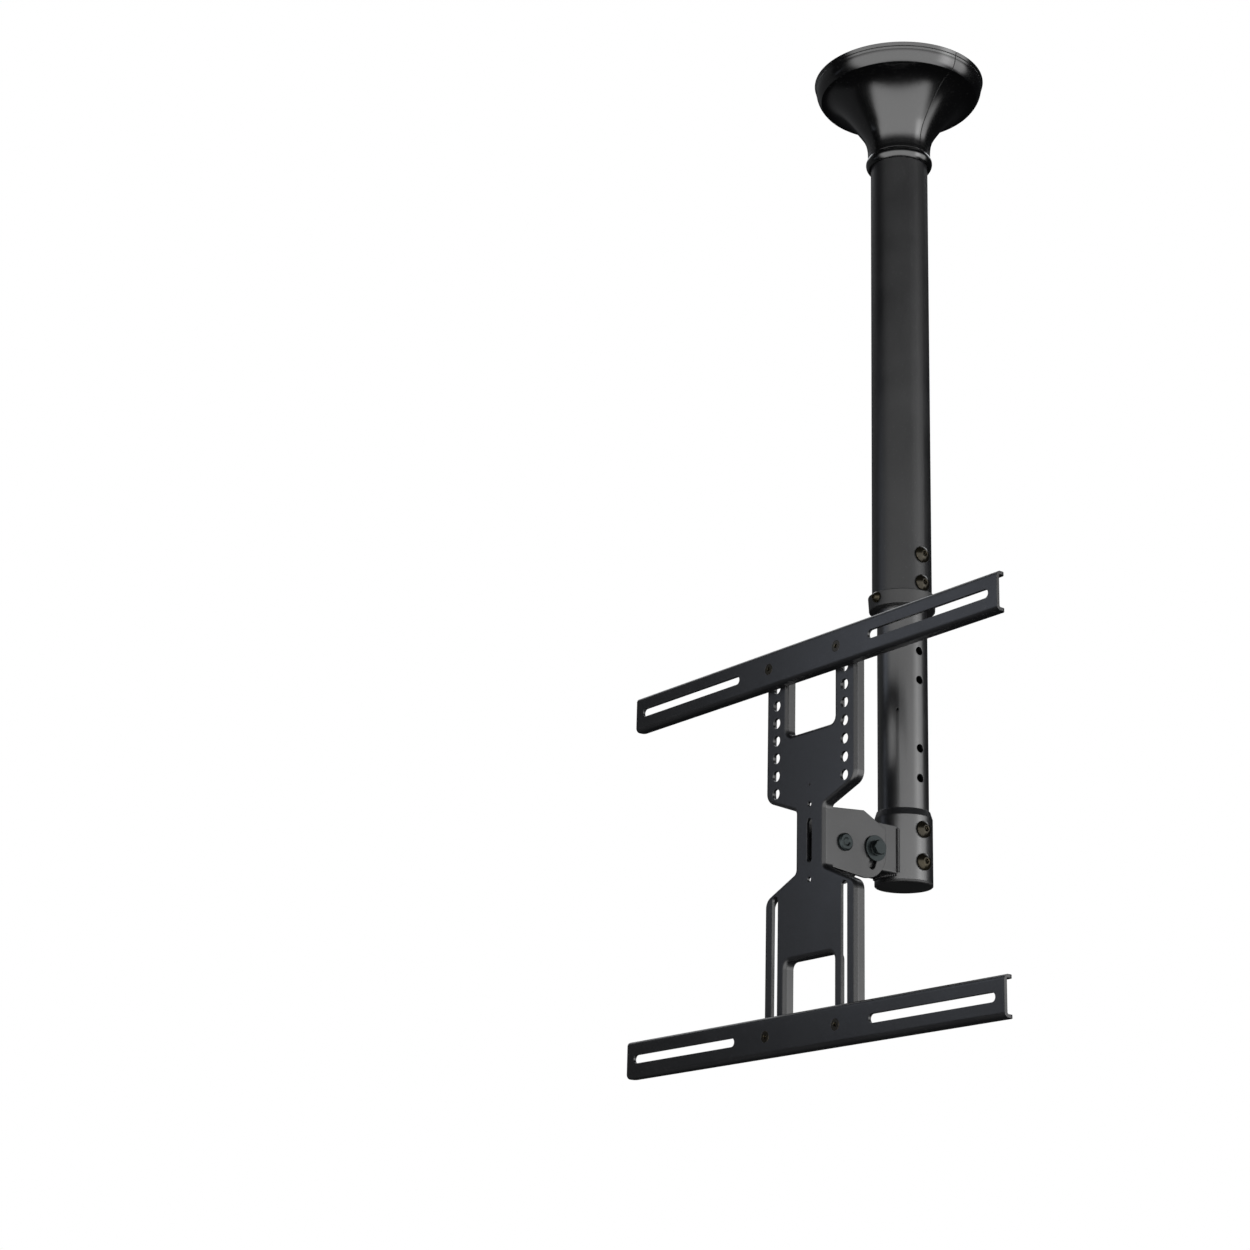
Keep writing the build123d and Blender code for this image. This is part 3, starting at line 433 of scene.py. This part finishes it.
def finish_set():
    """The shared groups and the finishes, made once and kept by name."""
    if "Satin powder coat" in bpy.data.materials:
        return {m.name: m for m in bpy.data.materials}
    coat = bpy.context.scene.cm_coat
    groups = {"edges": edge_wear_group(), "grain": coat_grain_group(), "marks": handling_group()}
    steel_color = tuple(coat.coat_color)
    steel_grain = 1 / coat.grain_size
    smoother = coat.coat_roughness * 0.9
    finishes = {
        "Satin powder coat": dict(
            color=steel_color, worn_color=(0.055, 0.056, 0.06), roughness=coat.coat_roughness, spread=0.14,
            grain_scale=steel_grain, grain_height=0.000045, wear=coat.wear, edge_radius=0.0007),
        "Smooth black coat": dict(
            color=steel_color, worn_color=(0.06, 0.061, 0.065), roughness=smoother, spread=0.12,
            grain_scale=steel_grain, grain_height=0.00003, wear=coat.wear, edge_radius=0.0006,
            specular=0.95),
        "Glossy cover plastic": dict(
            color=tuple(coat.cover_color), worn_color=(0.05, 0.05, 0.052), roughness=0.2, spread=0.08,
            grain_scale=700, grain_height=0.000012, wear=coat.wear * 0.6, edge_radius=0.0006, coat=0.25),
        "Dull moulded plastic": dict(
            color=tuple(coat.plastic_color), worn_color=(0.04, 0.04, 0.042), roughness=0.5, spread=0.1,
            grain_scale=1500, grain_height=0.00003, wear=coat.wear * 0.5, edge_radius=0.0005),
        # The worn colour (0.42, 0.34, 0.2) on the rubbed edges is partly real wear and partly a painted
        # brass glint on the bolt heads.
        "Dark bolt plating": dict(
            color=tuple(coat.bolt_color), worn_color=(0.42, 0.34, 0.2), roughness=0.24, spread=0.14,
            grain_scale=1800, grain_height=0.00001, wear=coat.wear * 1.2, edge_radius=0.00035,
            metallic=0.85, tint=(0.022, 0.018, 0.01)),
        "Black oxide steel": dict(
            color=tuple(coat.oxide_color), worn_color=(0.16, 0.18, 0.18), roughness=0.38, spread=0.16,
            grain_scale=1500, grain_height=0.00001, wear=coat.wear, edge_radius=0.0004, metallic=0.8),
        "Weld metal": dict(
            color=steel_color, worn_color=(0.06, 0.06, 0.062), roughness=smoother, spread=0.16,
            grain_scale=700, grain_height=0.00004, wear=coat.wear, edge_radius=0.0005),
    }
    return {name: black_finish(name, groups, **looks) for name, looks in finishes.items()}


# Mesh helpers

def select_only(piece):
    """Makes a piece the only one selected, and the active one."""
    bpy.ops.object.select_all(action="DESELECT")
    piece.select_set(True)
    bpy.context.view_layer.objects.active = piece


def settle(piece, name, material, body):
    """Puts the piece's place into its mesh, names it, and hands it to the body that carries it."""
    select_only(piece)
    bpy.ops.object.transform_apply(location=True, rotation=True, scale=True)
    piece.name = name
    piece.data.name = name
    piece.data.materials.clear()
    piece.data.materials.append(material)
    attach(piece, body)


def cap_open_ends():
    """Closes the open ends of the swept shape that is being edited, and turns its faces outwards."""
    bpy.ops.mesh.select_all(action="SELECT")
    bpy.ops.mesh.fill_holes(sides=0)
    bpy.ops.mesh.select_all(action="SELECT")
    bpy.ops.mesh.normals_make_consistent(inside=False)
    bpy.ops.object.mode_set(mode="OBJECT")


def weld_run(places, turns, width, name, material):
    """Sweeps a rippled bead, ring by ring, through the places; turns are its headings about Z."""
    ahead = (Vector(places[1]) - Vector(places[0])).normalized()
    bpy.ops.object.select_all(action="DESELECT")
    bpy.ops.mesh.primitive_circle_add(
        vertices=BEAD_CORNERS, radius=width * BEAD_RADIUS, location=places[0],
        rotation=ahead.to_track_quat("Z", "Y").to_euler())
    piece = bpy.context.object
    bpy.ops.object.transform_apply(location=True, rotation=True, scale=True)
    bpy.ops.object.mode_set(mode="EDIT")
    bpy.ops.mesh.select_all(action="SELECT")
    for i in range(1, len(places)):
        place = places[i]
        step = Vector(place) - Vector(places[i - 1])
        bpy.ops.mesh.extrude_region_move(TRANSFORM_OT_translate={"value": step})
        if turns[i] != turns[i - 1]:
            turn = turns[i - 1] - turns[i]
            bpy.ops.transform.rotate(value=turn, orient_axis="Z", center_override=place)
        grow = BEAD_GROWTH[i % RINGS_PER_RIPPLE]
        bpy.ops.transform.resize(value=(grow, grow, grow), center_override=place)
    cap_open_ends()
    settle(piece, name, material, "telescope")
    bpy.ops.object.shade_smooth_by_angle(angle=BEAD_SMOOTH_ANGLE)


def thread_ridge(name, radius, pitch, length, place, turn, body, material):
    """Adds a helical ridge round the bare end of a bolt, whose axis is local Z from the place."""
    ends = int((length - pitch * RIDGE_BARE) / pitch * RIDGE_ENDS_PER_TURN)
    rounds = max(1, ends / RIDGE_ENDS_PER_TURN)
    bpy.ops.object.select_all(action="DESELECT")
    bpy.ops.mesh.primitive_circle_add(
        vertices=RIDGE_CORNERS, radius=pitch * RIDGE_SIZE,
        location=(radius * RIDGE_REACH, 0, pitch * RIDGE_START), rotation=(pi / 2, 0, 0))
    piece = bpy.context.object
    bpy.ops.object.transform_apply(location=True, rotation=True, scale=True)
    screw = piece.modifiers.new("Helix", "SCREW")
    screw.axis = "Z"
    screw.angle = 2 * pi * rounds
    screw.screw_offset = pitch * rounds
    screw.steps = screw.render_steps = int(RIDGE_STEPS_PER_TURN * rounds)
    bpy.ops.object.modifier_apply(modifier=screw.name)
    bpy.ops.object.mode_set(mode="EDIT")
    cap_open_ends()
    piece.rotation_euler = turn
    piece.location = place
    settle(piece, name, material, body)


# Stage helpers

def add_camera(stage):
    """Adds the scene's camera at the photograph's place, turned by heading, pitch and roll."""
    yaw, pitch, roll = stage.heading, stage.pitch, stage.roll
    ahead = Vector((sin(yaw) * cos(pitch), cos(yaw) * cos(pitch), sin(pitch)))
    right = Vector((cos(yaw), -sin(yaw), 0))
    up = right.cross(ahead)
    leaning_right = right * cos(roll) + up * sin(roll)
    leaning_up = up * cos(roll) - right * sin(roll)
    turn = Matrix((leaning_right, leaning_up, -ahead)).transposed()
    bpy.ops.object.camera_add(location=stage.camera_place, rotation=turn.to_euler())
    camera = bpy.context.object
    camera.name = "Camera"
    camera.data.lens = stage.lens
    camera.data.sensor_width = SENSOR_WIDTH
    camera.data.clip_start = CLIP_START
    camera.data.clip_end = CLIP_END
    bpy.context.scene.camera = camera


def add_panel_light(name, place, target, width, height, power, color, spread):
    """Adds a flat light that faces the target and that the camera doesn't see."""
    turn = (Vector(target) - Vector(place)).to_track_quat("-Z", "Y").to_euler()
    bpy.ops.object.light_add(type="AREA", location=place, rotation=turn)
    light = bpy.context.object
    light.name = name
    light.data.shape = "RECTANGLE"
    light.data.size = width
    light.data.size_y = height
    light.data.energy = power
    light.data.color = color
    light.data.spread = spread
    light.visible_camera = False


def soft_box(tree, sight, heading, half_width, low, high, fades):
    """How much of a soft box lies in a direction of the surroundings, from 0 to 1."""
    parts = add_node(tree, "ShaderNodeSeparateXYZ")
    tree.links.new(sight, parts.inputs[0])
    level = add_node(tree, "ShaderNodeCombineXYZ")
    tree.links.new(parts.outputs[0], level.inputs[0])
    tree.links.new(parts.outputs[1], level.inputs[1])
    flat = add_node(tree, "ShaderNodeVectorMath", operation="NORMALIZE")
    tree.links.new(level.outputs[0], flat.inputs[0])
    facing = add_node(tree, "ShaderNodeVectorMath", operation="DOT_PRODUCT")
    tree.links.new(flat.outputs[0], facing.inputs[0])
    facing.inputs[1].default_value = (cos(heading), sin(heading), 0)
    side_fade, low_fade, high_fade = fades
    edges = (
        (facing.outputs["Value"], cos(half_width + side_fade), cos(half_width)),
        (parts.outputs[2], sin(low - low_fade), sin(low)),
        (parts.outputs[2], sin(high + high_fade), sin(high)),
    )
    masks = []
    for value, start, stop in edges:
        fade = add_node(tree, "ShaderNodeMapRange", interpolation_type="SMOOTHSTEP")
        tree.links.new(value, fade.inputs["Value"])
        fade.inputs["From Min"].default_value = min(start, stop)
        fade.inputs["From Max"].default_value = max(start, stop)
        fade.inputs["To Min"].default_value = 0 if start < stop else 1
        fade.inputs["To Max"].default_value = 1 if start < stop else 0
        masks.append(fade.outputs["Result"])
    return math_node(tree, "MULTIPLY", math_node(tree, "MULTIPLY", masks[0], masks[1]), masks[2])


def studio_world(scene, stage):
    """White to the camera; for light and reflections, dark with soft boxes in front and behind."""
    world = bpy.data.worlds.new("Studio") if not scene.world else scene.world
    scene.world = world
    world.use_nodes = True
    tree = world.node_tree
    tree.nodes.clear()
    sight = add_node(tree, "ShaderNodeTexCoord").outputs["Generated"]
    output = add_node(tree, "ShaderNodeOutputWorld", (900, 0))
    seen = add_node(tree, "ShaderNodeBackground", (300, 300), Color=WHITE, Strength=stage.backdrop)
    dark = add_node(tree, "ShaderNodeBackground", (0, 0), Color=FILL_COLOR, Strength=stage.fill)
    total = dark.outputs[0]
    for color, power, heading, half_width, low, high, fades in SOFT_BOXES:
        mask = soft_box(tree, sight, radians(heading), radians(half_width), radians(low), radians(high),
                        [radians(fade) for fade in fades])
        glow = add_node(tree, "ShaderNodeBackground", Color=color + (1,))
        strength = math_node(tree, "MULTIPLY", mask, power * stage.box_power)
        tree.links.new(strength, glow.inputs["Strength"])
        both = add_node(tree, "ShaderNodeAddShader")
        tree.links.new(total, both.inputs[0])
        tree.links.new(glow.outputs[0], both.inputs[1])
        total = both.outputs[0]
    path = add_node(tree, "ShaderNodeLightPath", (300, 500))
    mix = add_node(tree, "ShaderNodeMixShader", (650, 0))
    tree.links.new(path.outputs["Is Camera Ray"], mix.inputs[0])
    tree.links.new(total, mix.inputs[1])
    tree.links.new(seen.outputs[0], mix.inputs[2])
    tree.links.new(mix.outputs[0], output.inputs[0])


def floor_paint(brightness):
    """Pale to the camera and clear to everything else, so that light from below reaches the part."""
    paint = bpy.data.materials.new("Pale floor")
    tree = node_tree(paint)
    output = add_node(tree, "ShaderNodeOutputMaterial", (600, 0))
    pale = add_node(tree, "ShaderNodeEmission", (0, 200), Color=WHITE, Strength=brightness)
    clear = add_node(tree, "ShaderNodeBsdfTransparent", (0, -100))
    path = add_node(tree, "ShaderNodeLightPath", (0, 500))
    mix = add_node(tree, "ShaderNodeMixShader", (300, 0))
    tree.links.new(path.outputs["Is Camera Ray"], mix.inputs[0])
    tree.links.new(clear.outputs[0], mix.inputs[1])
    tree.links.new(pale.outputs[0], mix.inputs[2])
    tree.links.new(mix.outputs[0], output.inputs["Surface"])
    return paint


class CM_OT_stage(bpy.types.Operator):
    """Add the camera, the pale floor and the soft studio light"""

    bl_idname = "cm.stage"
    bl_label = "Stage"

    def execute(self, context):
        stage = context.scene.cm_stage
        context.scene.view_settings.view_transform = "Standard"
        add_camera(stage)
        bpy.ops.object.select_all(action="DESELECT")
        bpy.ops.mesh.primitive_plane_add(size=FLOOR_SIZE, location=(0, 0, -stage.floor_drop))
        floor = context.object
        floor.name = "Floor"
        floor.data.materials.append(floor_paint(stage.backdrop))
        studio_world(context.scene, stage)
        add_panel_light("Front panel", place=(-0.4, -0.85, -0.5), target=(0.55, -0.05, -0.88), width=0.6,
                        height=0.8, power=0.31, color=(0.8, 0.86, 1), spread=radians(70))
        return {"FINISHED"}


class CM_OT_steel(bpy.types.Operator):
    """Give the coated steel nodes their satin or smooth black coat"""

    bl_idname = "cm.steel"
    bl_label = "Coated steel"

    def execute(self, context):
        finishes = finish_set()
        dress(STEEL_NODES, finishes["Satin powder coat"])
        dress(SMOOTH_NODES, finishes["Smooth black coat"])
        return {"FINISHED"}


class CM_OT_plastics(bpy.types.Operator):
    """Give the cover, collar, guide and end cap their plastics"""

    bl_idname = "cm.plastics"
    bl_label = "Plastics"

    def execute(self, context):
        finishes = finish_set()
        dress(COVER_NODES, finishes["Glossy cover plastic"])
        dress(PLASTIC_NODES, finishes["Dull moulded plastic"])
        return {"FINISHED"}


class CM_OT_fasteners(bpy.types.Operator):
    """Give the screws, nuts and washers their dark plating, and the tilt joint's its black oxide"""

    bl_idname = "cm.fasteners"
    bl_label = "Fasteners"

    def execute(self, context):
        finishes = finish_set()
        dress(BOLT_NODES, finishes["Dark bolt plating"])
        dress(OXIDE_NODES, finishes["Black oxide steel"])
        return {"FINISHED"}


class CM_OT_welds(bpy.types.Operator):
    """Add the weld beads between the tilt arm and the sleeve"""

    bl_idname = "cm.welds"
    bl_label = "Welds"

    def execute(self, context):
        parts = context.scene.cm_parts
        metal = finish_set()["Weld metal"]
        sleeve_low, sleeve_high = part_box("hub_sleeve")
        arm_low, arm_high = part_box("tilt_arm")
        sleeve_r = (sleeve_high[0] - sleeve_low[0]) / 2
        arm_x = (arm_high[0] - arm_low[0]) / 2
        seam_y = -sqrt(sleeve_r ** 2 - arm_x ** 2)
        bottom = arm_low[2] + SEAM_BARE_END
        top = arm_high[2] - SEAM_BARE_END
        count = int((top - bottom) / parts.bead_step * RINGS_PER_RIPPLE)
        for name, side in (("weld_right", 1), ("weld_left", -1)):
            x = side * (arm_x + SIDE_SEAM_OUT)
            y = seam_y - SIDE_SEAM_FORWARD
            places = [(x, y, bottom + (top - bottom) * i / count) for i in range(count + 1)]
            weld_run(places, [0] * len(places), parts.bead_width, name, metal)
        reach = atan2(arm_x - SEAM_BARE_END, -seam_y)
        arc_r = sleeve_r + LOW_SEAM_OUT
        count = int(2 * reach * arc_r / parts.bead_step * RINGS_PER_RIPPLE)
        turns = [-reach + 2 * reach * i / count for i in range(count + 1)]
        places = [(arc_r * sin(turn), -arc_r * cos(turn), arm_low[2] - LOW_SEAM_DROP) for turn in turns]
        weld_run(places, turns, parts.bead_width * LOW_BEAD_SHARE, "weld_below", metal)
        return {"FINISHED"}


class CM_OT_threads(bpy.types.Operator):
    """Add the threads on the bare ends of the bolts"""

    bl_idname = "cm.threads"
    bl_label = "Threads"

    def execute(self, context):
        plating = finish_set()["Dark bolt plating"]
        to_minus_x = (0, -pi / 2, 0)
        to_plus_y = (-pi / 2, 0, 0)
        for name, x, y, z, length, radius, pitch in SIDE_THREADS:
            place = (x * MM, y * MM, z * MM)
            thread_ridge(name, radius * MM, pitch * MM, length * MM, place,
                         to_minus_x, "telescope", plating)
        for name, x, y, z, length, body in BACK_THREADS:
            place = (x * MM, y * MM, z * MM)
            thread_ridge(name, BACK_THREAD_RADIUS * MM, BACK_THREAD_PITCH * MM, length * MM, place,
                         to_plus_y, body, plating)
        return {"FINISHED"}


class CM_PT_mount(bpy.types.Panel):
    """The mount's settings and steps"""

    bl_idname = "CM_PT_mount"
    bl_label = "Ceiling mount"
    bl_space_type = "VIEW_3D"
    bl_region_type = "UI"
    bl_category = "Ceiling mount"

    def draw(self, context):
        scene = context.scene
        for settings in (scene.cm_coat, scene.cm_parts, scene.cm_stage):
            box = self.layout.box()
            for prop in settings.bl_rna.properties:
                if prop.identifier not in ("rna_type", "name"):
                    box.prop(settings, prop.identifier)
        for step in STEPS:
            self.layout.operator(step.bl_idname)


STEPS = (CM_OT_stage, CM_OT_steel, CM_OT_plastics, CM_OT_fasteners, CM_OT_welds, CM_OT_threads)
CLASSES = (CM_CoatSettings, CM_PartSettings, CM_StageSettings, CM_PT_mount) + STEPS


def register():
    for cls in CLASSES:
        bpy.utils.register_class(cls)
    bpy.types.Scene.cm_coat = bpy.props.PointerProperty(type=CM_CoatSettings)
    bpy.types.Scene.cm_parts = bpy.props.PointerProperty(type=CM_PartSettings)
    bpy.types.Scene.cm_stage = bpy.props.PointerProperty(type=CM_StageSettings)


def unregister():
    del bpy.types.Scene.cm_stage
    del bpy.types.Scene.cm_parts
    del bpy.types.Scene.cm_coat
    for cls in reversed(CLASSES):
        bpy.utils.unregister_class(cls)


def main():
    register()
    bpy.ops.cm.stage()
    bpy.ops.cm.steel()
    bpy.ops.cm.plastics()
    bpy.ops.cm.fasteners()
    bpy.ops.cm.welds()
    bpy.ops.cm.threads()


if __name__ == "__main__":
    main()
